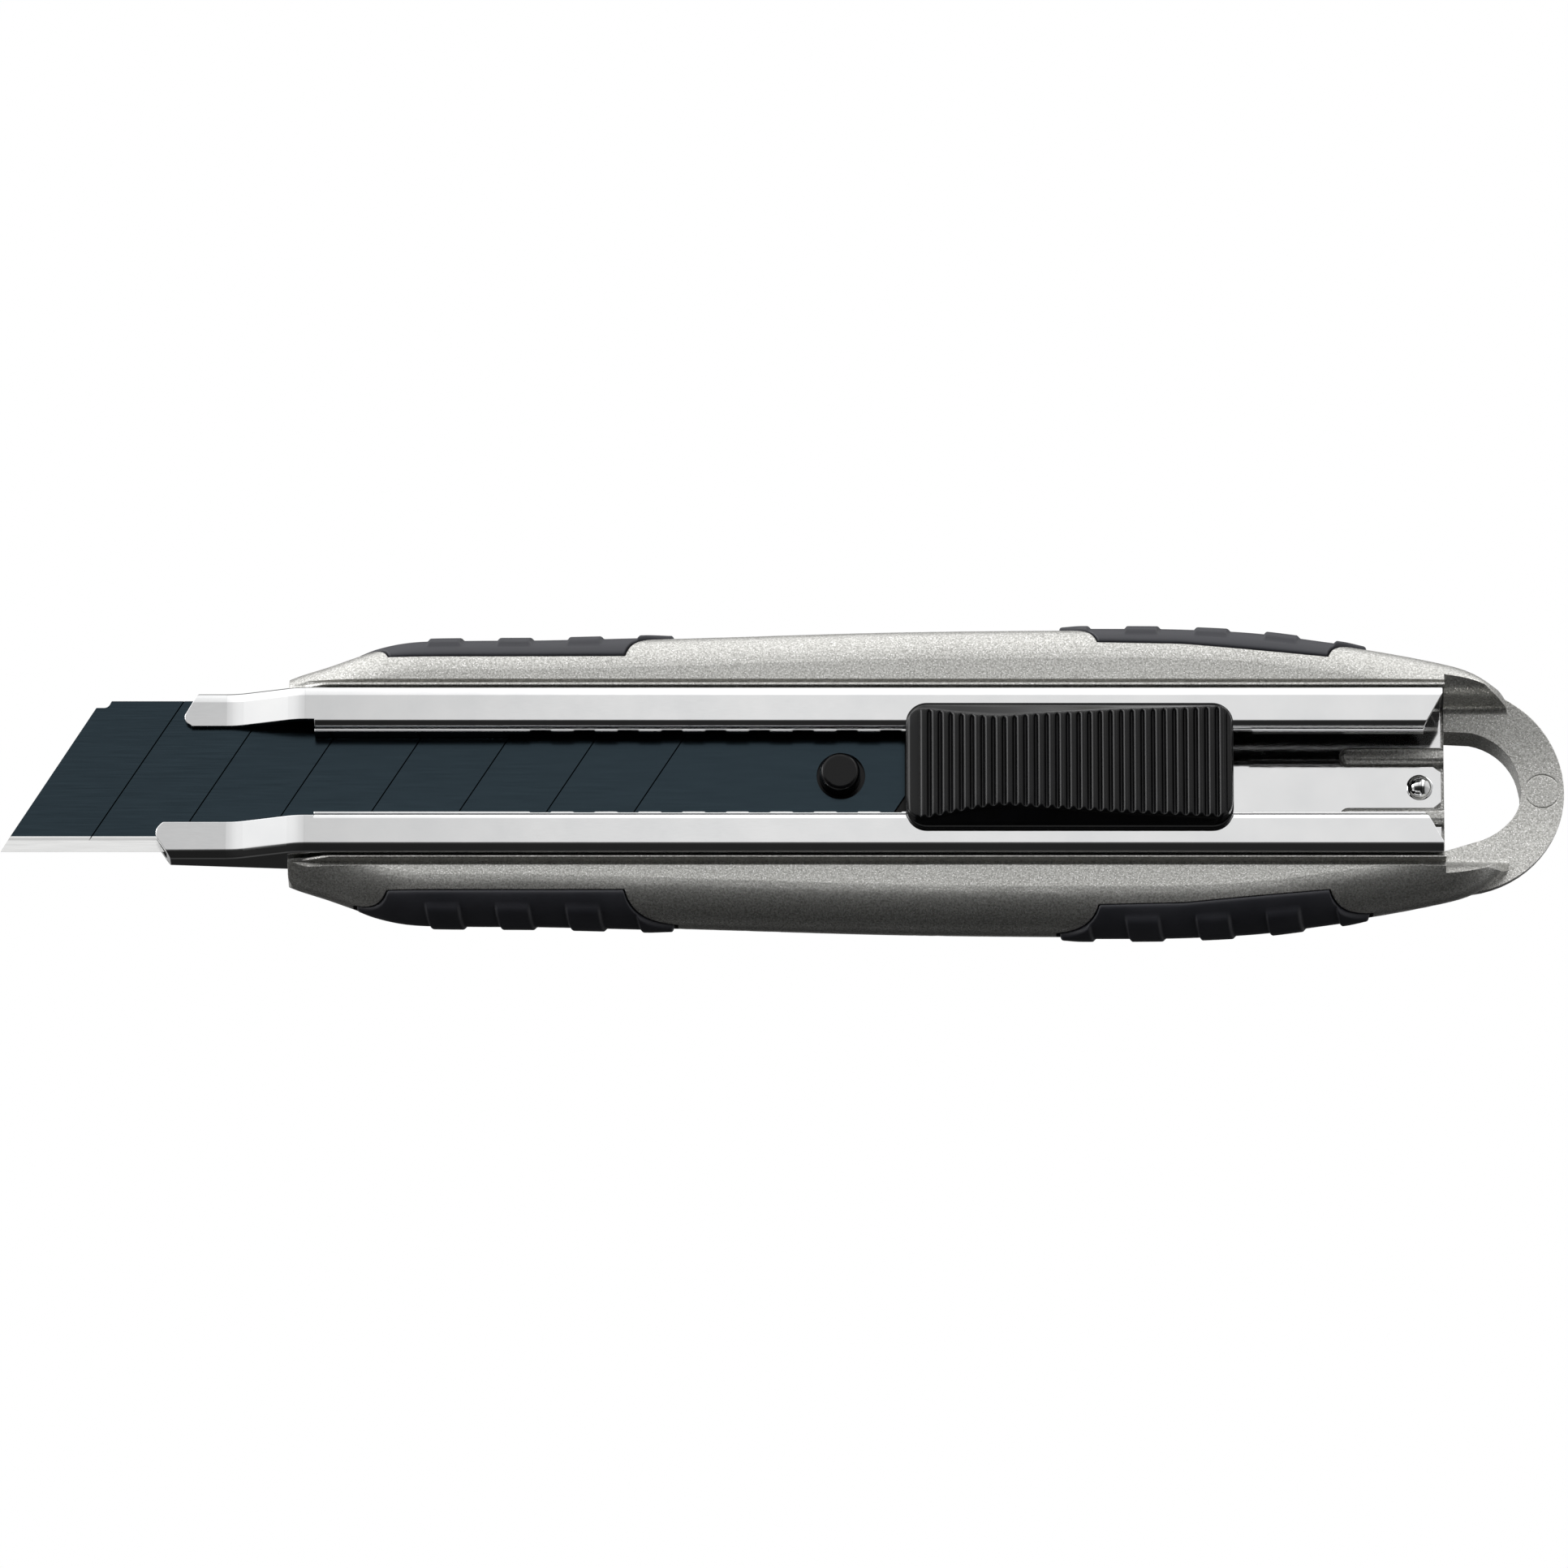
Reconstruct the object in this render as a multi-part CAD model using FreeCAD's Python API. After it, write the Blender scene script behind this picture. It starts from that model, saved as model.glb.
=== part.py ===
import FreeCAD
import Part

import math
import os

# Snap-off utility knife with a die-cast handle, a folded steel blade channel and an
# auto-lock slider.  Millimetres.  +X runs from the blade tip to the lanyard ring, +Y to
# the blade's spine, +Z out of the face that carries the slider.  The back lies on z = 0
# and x = 0 is the middle of the whole length with the blade where it is drawn.

# --- driving dimensions -------------------------------------------------------------

# Steel channel
SHEET = 0.7
CHANNEL_HALF_WIDTH = 9.95
CHANNEL_BACK_Z = 4.1
CHANNEL_FACE_Z = 12.5
CHANNEL_TAIL_X = 75.2
SPINE_BEND = 1.35
EDGE_BEND = 1.0
INNER_BEND = 0.3
NOSE_RISE_X = -53.0
NOSE_RISE = 2.1
NOSE_FULL_RISE_X = -72.0
NOSE_END_X = -75.0
PRONG_STEP_X = -55.7
PRONG_STEP_LENGTH = 7.0
PRONG_STEP_RADIUS = 5.5
PRONG_DROP = 2.68
PRONG_INNER_Y = 5.75
SPINE_PRONG_X = -68.8
EDGE_PRONG_X = -72.0
LIP_SPLIT_X = -31.5
LIP_NOSE_X = -53.6
SPINE_LIP_Y = 4.55
EDGE_LIP_Y = 5.0
LIP_BEND = 0.8
LEDGE_WIDTH = 0.35
LEDGE_Z = 11.55
FRONT_LIP_Z = 9.3
REAR_LIP_Z = 10.6
RAIL_TAIL_X = 73.0
REST_FRONT_X = -66.3
REST_TAIL_X = -59.0
REST_HALF_WIDTH = 5.0

# Rivets that hold the channel in the casting
RIVET_XS = (-40.0, 30.0)
RIVET_HEAD = 2.4
RIVET_SHANK = 1.2
RIVET_DEPTH = 2.6

# Ratchet in the spine-side lip
NOTCH_COUNT = 17
NOTCH_PITCH = 5.0
NOTCH_WIDTH = 2.5
NOTCH_DEPTH = 0.7
NOTCH_DENT = 0.16
FIRST_NOTCH_X = -27.8
REST_NOTCH = 12

# Tail of the channel floor
TONGUE_X = 63.6
TONGUE_HALF_WIDTH = 2.5
TAIL_SLOT_WIDTH = 2.2
STOP_X = 72.75
STOP_BALL_RADIUS = 1.6
STOP_RISE = 1.15
STOP_SHANK = 0.9

# Blade
BLADE_WIDTH = 18.0
BLADE_THICKNESS = 0.5
BLADE_BACK_Z = 8.55
BLADE_TIP_X = -89.4
BLADE_TAIL_X = 13.8
BLADE_BEVEL = 1.75
EDGE_HALF_THICKNESS = 0.02
TAIL_CLIP_Y = -2.3
SEGMENT_PITCH = 10.0
SCORE_COUNT = 7
SCORE_SLANT = 0.64
SCORE_DEPTH = 0.12
SCORE_HALF_WIDTH = 0.1
FIRST_SCORE_X = -77.07
FIRST_SCORE_Y = -4.2
BLADE_HOLE_X = 6.5
BLADE_HOLE_RADIUS = 2.78

# Casting
MID_Z = 6.25
FLANK_RADIUS = 4.5
BED_HALF_WIDTH = 10.22
RIM_WIDTH = 0.3
RIM_Z = 11.45
GROOVE_WIDTH = 0.6
GROOVE_Z = 9.9
NOSE_X = -56.6
BED_TAIL_X = 75.5
RING_HEIGHT = 4.8
RING_RADIUS = 12.4
RING_CENTRE_X = 76.9
RING_CENTRE_Y = -0.55
RING_EDGE = 0.9
RING_TAPER = 1.4
RING_DISH = 0.6
DISH_RADIUS = 65.0
RING_SLOPE = 0.1
CREASE_HALF_WIDTH = 6.3
CREASE_Y = -0.12
TAIL_RIB_Z = 5.7
EJECTOR_X = 86.8
EJECTOR_Y = -0.38
EJECTOR_RADIUS = 2.05
FLANK_HALF_WIDTHS = [
    (-56.6, 12.2), (-52.5, 13.65), (-49.1, 14.9), (-45.2, 16.1), (-42.0, 16.6),
    (-36.0, 16.75), (-28.0, 16.8), (-14.0, 17.15), (0.0, 17.6), (12.0, 17.95),
    (26.0, 18.15), (38.0, 18.2), (46.0, 18.1), (54.0, 17.65), (61.0, 16.75),
    (68.0, 15.65), (75.0, 14.25), (79.0, 12.95), (81.4, 11.3), (83.2, 9.9),
]

# Rubber grips
GRIP_DEPTH = 1.3
GRIP_PROUD = 0.25
GRIP_GAP = 0.1
GRIP_TIP_GAP = 0.45
GRIP_TIP = 0.6
PAD_PROUD = 0.35
PAD_WIDTH = 4.0
PAD_PITCH = 8.0
PAD_HALF_HEIGHT = 3.1
PAD_LEAN = 0.5
GRIPS = [
    # name, x of (front tip, front shoulder, rear shoulder, rear tip), inner edge in y, first pad
    ("front_grip", (-48.7, -44.6, -19.0, -12.5), (14.05, 14.05, 14.07), -40.4),
    ("rear_grip", (31.5, 36.6, 61.5, 66.8), (15.9, 15.6, 13.5), 31.4),
]

# Slider
KNOB_FRONT_X = 13.9
KNOB_TAIL_X = 51.25
KNOB_HALF_WIDTH = 7.45
KNOB_CORNER = 2.4
RAIL_CLEARANCE = 0.1
BASE_THICKNESS = 0.7
RIB_COUNT = 29
RIB_PITCH = 1.215
FIRST_RIB_X = 15.9
RIB_DEPTH = 0.42
CAP_SECTIONS = [
    # x, half-width of the rib field, height of the crest above the rails
    (13.9, 6.3, 1.1), (15.9, 6.6, 1.6), (20.0, 5.95, 2.1), (24.6, 5.45, 2.65),
    (28.4, 5.65, 2.8), (33.4, 5.95, 2.7), (37.8, 6.2, 2.6), (44.0, 6.45, 2.45),
    (50.2, 6.7, 2.3), (51.25, 6.5, 1.8),
]
CARRIER_FRONT_X = 2.2
CARRIER_TAIL_X = 50.8
CARRIER_FLOOR_Z = 4.95
CARRIER_TOP_Z = 9.0
PEG_X = 6.4
PEG_RADIUS = 2.3
PEG_HEIGHT = 2.0
PEG_ROUNDING = 0.55
RELEASE_PLAY = 0.8
NECK_HALF_WIDTH = 4.1
NECK_FRONT_X = 16.0
NECK_TAIL_X = 49.0
CARRIER_HALF_WIDTH = 9.0
WING_INNER_Y = 6.0
BAY_ROOF = 1.3
BOSS_HALF_LENGTH = 3.0
BOSS_HALF_WIDTH = 1.6
FOOT_Z = 11.0
PIN_XS = (20.0, 45.5)
PIN_RADIUS = 1.0

# Lock spring
SPRING_BAY_X = 29.5
SPRING_INNER_Y = 0.4
SPRING_OUTER_Y = 5.8
SPRING_SHEET = 0.4
SPRING_TIP_X = 31.0
SPRING_TIP_Z = 10.3

CHANNEL_INNER_Y = CHANNEL_HALF_WIDTH - SHEET
FLOOR_Z = CHANNEL_BACK_Z + SHEET
RAIL_UNDER_Z = CHANNEL_FACE_Z - SHEET
BLADE_FACE_Z = BLADE_BACK_Z + BLADE_THICKNESS
RIM_Y = BED_HALF_WIDTH + RIM_WIDTH
BASE_Z = CHANNEL_FACE_Z + RAIL_CLEARANCE
CAP_Z = BASE_Z + BASE_THICKNESS
PAWL_X = FIRST_NOTCH_X + REST_NOTCH * NOTCH_PITCH
BOSS_REACH = BOSS_HALF_LENGTH + RELEASE_PLAY + 0.3


# --- helpers ------------------------------------------------------------------------


def vec(x, y, z=0.0):
    return FreeCAD.Vector(x, y, z)


def box(x0, x1, y0, y1, z0, z1):
    return Part.makeBox(x1 - x0, y1 - y0, z1 - z0, vec(x0, y0, z0))


def post(x, y, z0, z1, radius):
    """An upright cylinder."""
    return Part.makeCylinder(radius, z1 - z0, vec(x, y, z0))


def rounded_face(corners, radii):
    """A flat face through the corners, each rounded to its own radius."""
    count = len(corners)
    starts = []
    middles = []
    ends = []
    for i, corner in enumerate(corners):
        back = (corners[i - 1] - corner).normalize()
        ahead = (corners[(i + 1) % count] - corner).normalize()
        half_angle = back.getAngle(ahead) / 2
        reach = radii[i] / math.tan(half_angle)
        starts.append(corner + back * reach)
        ends.append(corner + ahead * reach)
        inward = (back + ahead).normalize()
        middles.append(corner + inward * (radii[i] / math.sin(half_angle) - radii[i]))
    edges = []
    for i in range(count):
        if radii[i] > 0:
            edges.append(Part.Arc(starts[i], middles[i], ends[i]).toShape())
        following = starts[(i + 1) % count]
        edges.append(Part.LineSegment(ends[i], following).toShape())
    return Part.Face(Part.Wire(edges))


def plan_prism(outline, z0, z1):
    """Extrude an outline of (x, y, corner radius) upwards."""
    corners = [vec(x, y, z0) for x, y, _ in outline]
    face = rounded_face(corners, [radius for _, _, radius in outline])
    return face.extrude(vec(0, 0, z1 - z0))


def side_prism(outline, y0, y1):
    """Extrude an outline of (x, z, corner radius) across the knife."""
    corners = [vec(x, y0, z) for x, z, _ in outline]
    face = rounded_face(corners, [radius for _, _, radius in outline])
    return face.extrude(vec(0, y1 - y0, 0))


def cross_prism(outline, x0, x1):
    """Extrude an outline of (y, z, corner radius) along the knife."""
    corners = [vec(x0, y, z) for y, z, _ in outline]
    face = rounded_face(corners, [radius for _, _, radius in outline])
    return face.extrude(vec(x1 - x0, 0, 0))


def rounded_plate(x0, x1, y0, y1, corner, z0, z1):
    """A flat plate with four equal rounded corners."""
    return plan_prism([(x0, y0, corner), (x1, y0, corner), (x1, y1, corner), (x0, y1, corner)], z0, z1)


def mirror_y(shape):
    return shape.mirror(vec(0, 0, 0), vec(0, 1, 0))


def both_sides(shape):
    return shape.fuse(mirror_y(shape))


# --- casting ------------------------------------------------------------------------


def flank_section(x, half_width, radius):
    """One cross-section of the flanks: flat faces joined by full round sides."""
    cap = half_width - radius
    top = MID_Z + radius
    bottom = MID_Z - radius
    edges = [
        Part.LineSegment(vec(x, -cap, bottom), vec(x, cap, bottom)).toShape(),
        Part.Arc(vec(x, cap, bottom), vec(x, cap + radius, MID_Z), vec(x, cap, top)).toShape(),
        Part.LineSegment(vec(x, cap, top), vec(x, -cap, top)).toShape(),
        Part.Arc(vec(x, -cap, top), vec(x, -cap - radius, MID_Z), vec(x, -cap, bottom)).toShape(),
    ]
    return Part.Wire(edges)


def flanks(grow):
    """Both flanks as one loft, grown by the given amount all round."""
    sections = []
    for x, half_width in FLANK_HALF_WIDTHS:
        sections.append(flank_section(x, half_width + grow, FLANK_RADIUS + grow))
    return Part.makeLoft(sections, True, False)


def flank_envelope():
    """Rounds the front corners of the flanks and slopes their tails down to the ring."""
    plan = plan_prism(
        [(NOSE_X, -12.2, 0.9), (-40.0, -18.35, 0), (-40.0, -22.0, 0), (95.0, -22.0, 0),
         (95.0, 22.0, 0), (-40.0, 22.0, 0), (-40.0, 18.35, 0), (NOSE_X, 12.2, 0.9)], -1.0, 20.0)
    side = side_prism(
        [(NOSE_X, 1.0, 2.5), (83.4, 1.0, 1.0), (83.4, RING_HEIGHT - 0.8, 0), (80.9, 9.3, 5.0),
         (75.6, 11.2, 0), (75.6, 20.0, 0), (NOSE_X + 3.0, 20.0, 0), (NOSE_X, 11.0, 2.5)], -22.0, 22.0)
    return plan.common(side)


def centre_block():
    """The spine of the casting: back panel below, rims of the bed above."""
    profile = side_prism(
        [(NOSE_X + 0.4, 0.9, 1.0), (NOSE_X + 2.6, 0.0, 2.0), (BED_TAIL_X, 0.0, 0),
         (BED_TAIL_X, RIM_Z, 0), (NOSE_X + 4.2, RIM_Z, 3.0), (NOSE_X + 0.4, 9.6, 1.2)],
        -RIM_Y, RIM_Y)
    section = cross_prism(
        [(-RIM_Y, 0.0, 1.6), (RIM_Y, 0.0, 1.6), (RIM_Y, RIM_Z, 0.14), (-RIM_Y, RIM_Z, 0.14)],
        NOSE_X, BED_TAIL_X)
    return profile.common(section)


def ring_floor(y):
    """Height of the ring's face beyond the creases, rising gently outwards."""
    return RING_HEIGHT + RING_SLOPE * (abs(y - CREASE_Y) - CREASE_HALF_WIDTH)


def ring_face(low_y, high_y):
    """Outline of the ring's face across the knife: dished between two creases."""
    return [(low_y, ring_floor(low_y), 0), (CREASE_Y - CREASE_HALF_WIDTH, RING_HEIGHT, 0),
            (CREASE_Y, RING_HEIGHT - RING_DISH, DISH_RADIUS),
            (CREASE_Y + CREASE_HALF_WIDTH, RING_HEIGHT, 0), (high_y, ring_floor(high_y), 0)]


def ring():
    """Lanyard ring at the tail, tapered outside."""
    centre = vec(RING_CENTRE_X, RING_CENTRE_Y, 0)
    rim_height = ring_floor(RING_RADIUS)
    taper = Part.makeCone(RING_RADIUS - RING_TAPER, RING_RADIUS, rim_height - RING_EDGE, centre)
    edge = Part.makeCylinder(RING_RADIUS, RING_EDGE, centre + vec(0, 0, rim_height - RING_EDGE))
    section = cross_prism([(20.0, 0.0, 0), (-20.0, 0.0, 0)] + ring_face(-20.0, 20.0), 70.0, 95.0)
    return taper.fuse(edge).common(section)


def ring_hole():
    """D-shaped lanyard hole: straight towards the channel, round towards the tail."""
    x0 = BED_TAIL_X + 0.05
    edges = [
        Part.LineSegment(vec(x0, 6.65, -1), vec(78.6, 6.5, -1)).toShape(),
        Part.Arc(vec(78.6, 6.5, -1), vec(82.2, 4.65, -1), vec(84.2, 0.85, -1)).toShape(),
        Part.Arc(vec(84.2, 0.85, -1), vec(84.2, -1.9, -1), vec(82.9, -4.2, -1)).toShape(),
        Part.Arc(vec(82.9, -4.2, -1), vec(81.2, -5.65, -1), vec(79.0, -6.6, -1)).toShape(),
        Part.LineSegment(vec(79.0, -6.6, -1), vec(x0, -7.7, -1)).toShape(),
        Part.LineSegment(vec(x0, -7.7, -1), vec(x0, 6.65, -1)).toShape(),
    ]
    return Part.Face(Part.Wire(edges)).extrude(vec(0, 0, 16))


def tail_shoulder_cut():
    """Clears the space above the ring between the two ends of the flanks."""
    floor = ring_face(-9.4, 9.4)
    floor[0] = (-9.4, ring_floor(-9.4), 1.0)
    floor[-1] = (9.4, ring_floor(9.4), 1.0)
    return cross_prism(
        floor + [(10.3, 8.9, 3.0), (13.0, 10.95, 0), (13.0, 20.0, 0),
                 (-13.0, 20.0, 0), (-13.0, 10.95, 0), (-10.3, 8.9, 3.0)], BED_TAIL_X, 95.0)


def rim_groove():
    """A fine groove where the bed's rim stands on the flank."""
    return box(NOSE_X - 1.0, BED_TAIL_X, RIM_Y, RIM_Y + GROOVE_WIDTH, GROOVE_Z, 20.0)


def tail_ribs():
    """Two raised ribs that fill the slots beside the channel's tongue."""
    inner = TONGUE_HALF_WIDTH + 0.2
    outer = TONGUE_HALF_WIDTH + TAIL_SLOT_WIDTH - 0.2
    rib = plan_prism(
        [(TONGUE_X + 0.2, inner, 0.85), (BED_TAIL_X, inner, 0), (BED_TAIL_X, outer, 0),
         (TONGUE_X + 0.2, outer, 0.85)], CHANNEL_BACK_Z - 0.5, TAIL_RIB_Z)
    top_rim = [edge for edge in rib.Edges if edge.BoundBox.ZMin > TAIL_RIB_Z - 1e-6
               and edge.BoundBox.XMin < BED_TAIL_X - 1e-6]
    return both_sides(rib.makeFillet(0.6, top_rim))


def ejector_mark():
    """A fine circle left by an ejector pin on the ring."""
    floor_z = RING_HEIGHT - 0.35
    outer = post(EJECTOR_X, EJECTOR_Y, floor_z, RING_HEIGHT + 1, EJECTOR_RADIUS)
    inner = post(EJECTOR_X, EJECTOR_Y, floor_z, RING_HEIGHT + 1, EJECTOR_RADIUS - 0.13)
    return outer.cut(inner)


def grip_regions(clearance, tip_clearance):
    """Where each rubber insert lies, as solids that reach inwards from the side."""
    regions = {}
    for name, ends, inner, _ in GRIPS:
        side = grip_profile(ends, clearance, tip_clearance)
        plan = plan_prism(
            [(ends[0] - 1, inner[0] - clearance, 0), (ends[0] + 14, inner[1] - clearance, 30.0),
             (ends[3] + 1, inner[2] - clearance, 0), (ends[3] + 1, 23.0, 0), (ends[0] - 1, 23.0, 0)],
            -1.0, 15.0)
        region = side.common(plan)
        regions[name + "_spine"] = region
        regions[name + "_edge"] = mirror_y(region)
    return regions


def grip_profile(ends, clearance, tip_clearance):
    """Side view of an insert: a long body whose ends sweep in to a slim tip."""
    front_tip, front_shoulder, rear_shoulder, rear_tip = ends
    high = MID_Z + FLANK_RADIUS + 1.0
    low = MID_Z - FLANK_RADIUS - 1.0
    upper_tip = MID_Z + GRIP_TIP + clearance
    lower_tip = MID_Z - GRIP_TIP - clearance
    x0 = front_tip - tip_clearance
    x1 = front_shoulder - clearance
    x2 = rear_shoulder + clearance
    x3 = rear_tip + tip_clearance
    upper_bend = upper_tip + 0.35 * (high - upper_tip)
    lower_bend = lower_tip - 0.35 * (lower_tip - low)
    front_bend = x0 + 0.62 * (x1 - x0)
    rear_bend = x3 - 0.62 * (x3 - x2)
    y = 8.0
    edges = [
        Part.Arc(vec(x0, y, upper_tip), vec(front_bend, y, upper_bend), vec(x1, y, high)).toShape(),
        Part.LineSegment(vec(x1, y, high), vec(x2, y, high)).toShape(),
        Part.Arc(vec(x2, y, high), vec(rear_bend, y, upper_bend), vec(x3, y, upper_tip)).toShape(),
        Part.LineSegment(vec(x3, y, upper_tip), vec(x3, y, lower_tip)).toShape(),
        Part.Arc(vec(x3, y, lower_tip), vec(rear_bend, y, lower_bend), vec(x2, y, low)).toShape(),
        Part.LineSegment(vec(x2, y, low), vec(x1, y, low)).toShape(),
        Part.Arc(vec(x1, y, low), vec(front_bend, y, lower_bend), vec(x0, y, lower_tip)).toShape(),
        Part.LineSegment(vec(x0, y, lower_tip), vec(x0, y, upper_tip)).toShape(),
    ]
    return Part.Face(Part.Wire(edges)).extrude(vec(0, 15.0, 0))


def grip_pads(first_pad_x, tail_x, raised):
    """Raised pads along an insert, evenly pitched, leaning forward at the top."""
    low, high = MID_Z - PAD_HALF_HEIGHT, MID_Z + PAD_HALF_HEIGHT
    pads = []
    x = first_pad_x
    while x < tail_x - 1.0:
        end = min(x + PAD_WIDTH, tail_x)
        outline = [vec(x + PAD_LEAN, 8.0, low), vec(end + PAD_LEAN, 8.0, low),
                   vec(end - PAD_LEAN, 8.0, high), vec(x - PAD_LEAN, 8.0, high)]
        pads.append(Part.Face(Part.makePolygon(outline + outline[:1])).extrude(vec(0, 15.0, 0)))
        x += PAD_PITCH
    return raised.common(pads[0].multiFuse(pads[1:]))


def grips():
    outer = flanks(GRIP_PROUD)
    inner = flanks(-GRIP_DEPTH)
    raised = flanks(GRIP_PROUD + PAD_PROUD)
    regions = grip_regions(0.0, 0.0)
    shapes = {}
    for name, ends, _, first_pad_x in GRIPS:
        region = regions[name + "_spine"]
        skin = region.common(outer).cut(inner)
        pads = grip_pads(first_pad_x, ends[3], region.common(raised).cut(inner))
        grip = skin.fuse(pads).removeSplitter()
        shapes[name + "_spine"] = grip
        shapes[name + "_edge"] = mirror_y(grip)
    return shapes


def handle_casting():
    body = flanks(0.0).common(flank_envelope())
    inner = flanks(-GRIP_DEPTH)
    for region in grip_regions(GRIP_GAP, GRIP_TIP_GAP).values():
        body = body.cut(region.cut(inner))
    body = body.fuse(centre_block())
    body = body.cut(tail_shoulder_cut())
    body = body.fuse(ring())
    bed = box(NOSE_X - 5, BED_TAIL_X, -BED_HALF_WIDTH, BED_HALF_WIDTH, CHANNEL_BACK_Z, 20.0)
    body = body.cut(bed).cut(ring_hole())
    body = body.fuse(tail_ribs())
    body = body.cut(ejector_mark()).cut(both_sides(rim_groove()))
    for x in RIVET_XS:
        body = body.cut(post(x, 0, CHANNEL_BACK_Z - RIVET_DEPTH, CHANNEL_BACK_Z + 1, RIVET_SHANK))
    body = body.cut(post(STOP_X, 0, CHANNEL_BACK_Z - RIVET_DEPTH, CHANNEL_BACK_Z + 1, STOP_SHANK))
    return body.removeSplitter()


# --- steel channel ------------------------------------------------------------------


def channel_silhouette(inset):
    """Side view of the channel, drawn in by the sheet's thickness for its inside."""
    lean = math.atan2(PRONG_DROP, PRONG_STEP_LENGTH)
    shift = inset * math.tan(lean / 2)
    face = CHANNEL_FACE_Z - inset
    back = CHANNEL_BACK_Z + inset
    return [
        (CHANNEL_TAIL_X, back, 0),
        (CHANNEL_TAIL_X, face, 0),
        (PRONG_STEP_X + shift, face, PRONG_STEP_RADIUS - inset),
        (PRONG_STEP_X - PRONG_STEP_LENGTH + shift, face - PRONG_DROP, PRONG_STEP_RADIUS + inset),
        (NOSE_END_X, face - PRONG_DROP, 0),
        (NOSE_END_X, back + NOSE_RISE * (NOSE_RISE_X - NOSE_END_X) / (NOSE_RISE_X - NOSE_FULL_RISE_X), 0),
        (NOSE_RISE_X, back, 30.0),
    ]


def long_edges(shape, side_y):
    """Edges that run along one side of a silhouette prism."""
    chosen = []
    for edge in shape.Edges:
        ends = [vertex.Point for vertex in edge.Vertexes]
        on_side = all(abs(point.y - side_y) < 1e-6 for point in ends)
        on_end = all(abs(point.x - CHANNEL_TAIL_X) < 1e-6 for point in ends)
        on_nose = all(abs(point.x - NOSE_END_X) < 1e-6 for point in ends)
        if on_side and not on_end and not on_nose:
            chosen.append(edge)
    return chosen


def rounded_silhouette(inset, half_width, spine_bend, edge_bend):
    """The channel's silhouette as a solid with its long edges bent round."""
    solid = side_prism(channel_silhouette(inset), -half_width, half_width)
    solid = solid.makeFillet(spine_bend, long_edges(solid, half_width))
    return solid.makeFillet(edge_bend, long_edges(solid, -half_width))


def lip(x0, x1, inner_y, lowest_z):
    """One spine-side lip: rail strip, round bend, narrow ledge and the wall below it."""
    outer_y = inner_y + SHEET
    bend_y = inner_y + LEDGE_WIDTH
    strip_y = bend_y + LIP_BEND + 0.3
    return cross_prism(
        [(inner_y, lowest_z, 0.1), (outer_y, lowest_z, 0.1), (outer_y, RAIL_UNDER_Z, 0),
         (strip_y, RAIL_UNDER_Z, 0), (strip_y, CHANNEL_FACE_Z, 0), (bend_y, CHANNEL_FACE_Z, LIP_BEND),
         (bend_y, LEDGE_Z, 0.05), (inner_y, LEDGE_Z, 0.12)], x0, x1)


def notch(x, inner_y):
    """A ratchet notch in a lip, with the shallow dent its punch leaves in the ledge."""
    x0 = x - NOTCH_WIDTH / 2
    x1 = x + NOTCH_WIDTH / 2
    through = box(x0, x1, inner_y - 0.2, inner_y + SHEET + 0.2, REAR_LIP_Z - 0.2, REAR_LIP_Z + NOTCH_DEPTH)
    dent = rounded_plate(x0, x1, inner_y - 0.8, inner_y + NOTCH_DENT, NOTCH_DENT, REAR_LIP_Z, LEDGE_Z + 0.1)
    return through.fuse(dent)


def rail_lips(inner_y):
    """A rail's inward lip: deep over the blade in front, short and notched behind."""
    front = lip(LIP_NOSE_X, LIP_SPLIT_X, inner_y, FRONT_LIP_Z)
    rear = lip(LIP_SPLIT_X, CHANNEL_TAIL_X, inner_y, REAR_LIP_Z)
    for i in range(NOTCH_COUNT):
        rear = rear.cut(notch(FIRST_NOTCH_X + i * NOTCH_PITCH, inner_y))
    return front.fuse(rear)


def window():
    """The gap between the rails and, further forward, between the prongs."""
    edge_y = EDGE_LIP_Y + LEDGE_WIDTH + LIP_BEND
    spine_y = SPINE_LIP_Y + LEDGE_WIDTH + LIP_BEND
    between = box(LIP_NOSE_X, CHANNEL_TAIL_X + 1, -edge_y, spine_y, FRONT_LIP_Z, CHANNEL_FACE_Z + 1)
    nose = box(NOSE_END_X - 1, LIP_NOSE_X, -PRONG_INNER_Y, PRONG_INNER_Y, BLADE_FACE_Z, CHANNEL_FACE_Z + 1)
    return between.fuse(nose)


def nose_plan():
    """Plan of the channel: square tail, two unequal prongs at the nose."""
    return plan_prism(
        [(80.0, -11.0, 0), (-70.0, -11.0, 0), (-70.0, -9.9, 0.5), (EDGE_PRONG_X, -6.9, 1.2),
         (-70.9, -PRONG_INNER_Y, 0.5), (-67.7, -PRONG_INNER_Y, 0.3), (-67.7, 4.0, 0.3),
         (-67.6, PRONG_INNER_Y, 0.4), (SPINE_PRONG_X, 6.5, 0.9), (-66.9, 9.9, 0.5), (-66.9, 11.0, 0),
         (80.0, 11.0, 0)], 0.0, 20.0)


def blade_rest():
    """A stamped rise in the nose of the floor that carries the blade, and its hollow."""
    top = BLADE_BACK_Z - 0.05
    rest = box(REST_FRONT_X, REST_TAIL_X, -REST_HALF_WIDTH, REST_HALF_WIDTH, FLOOR_Z - 0.2, top)
    hollow = box(REST_FRONT_X + SHEET, REST_TAIL_X - SHEET, SHEET - REST_HALF_WIDTH,
                 REST_HALF_WIDTH - SHEET, 0.0, top - SHEET)
    return rest, hollow


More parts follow.
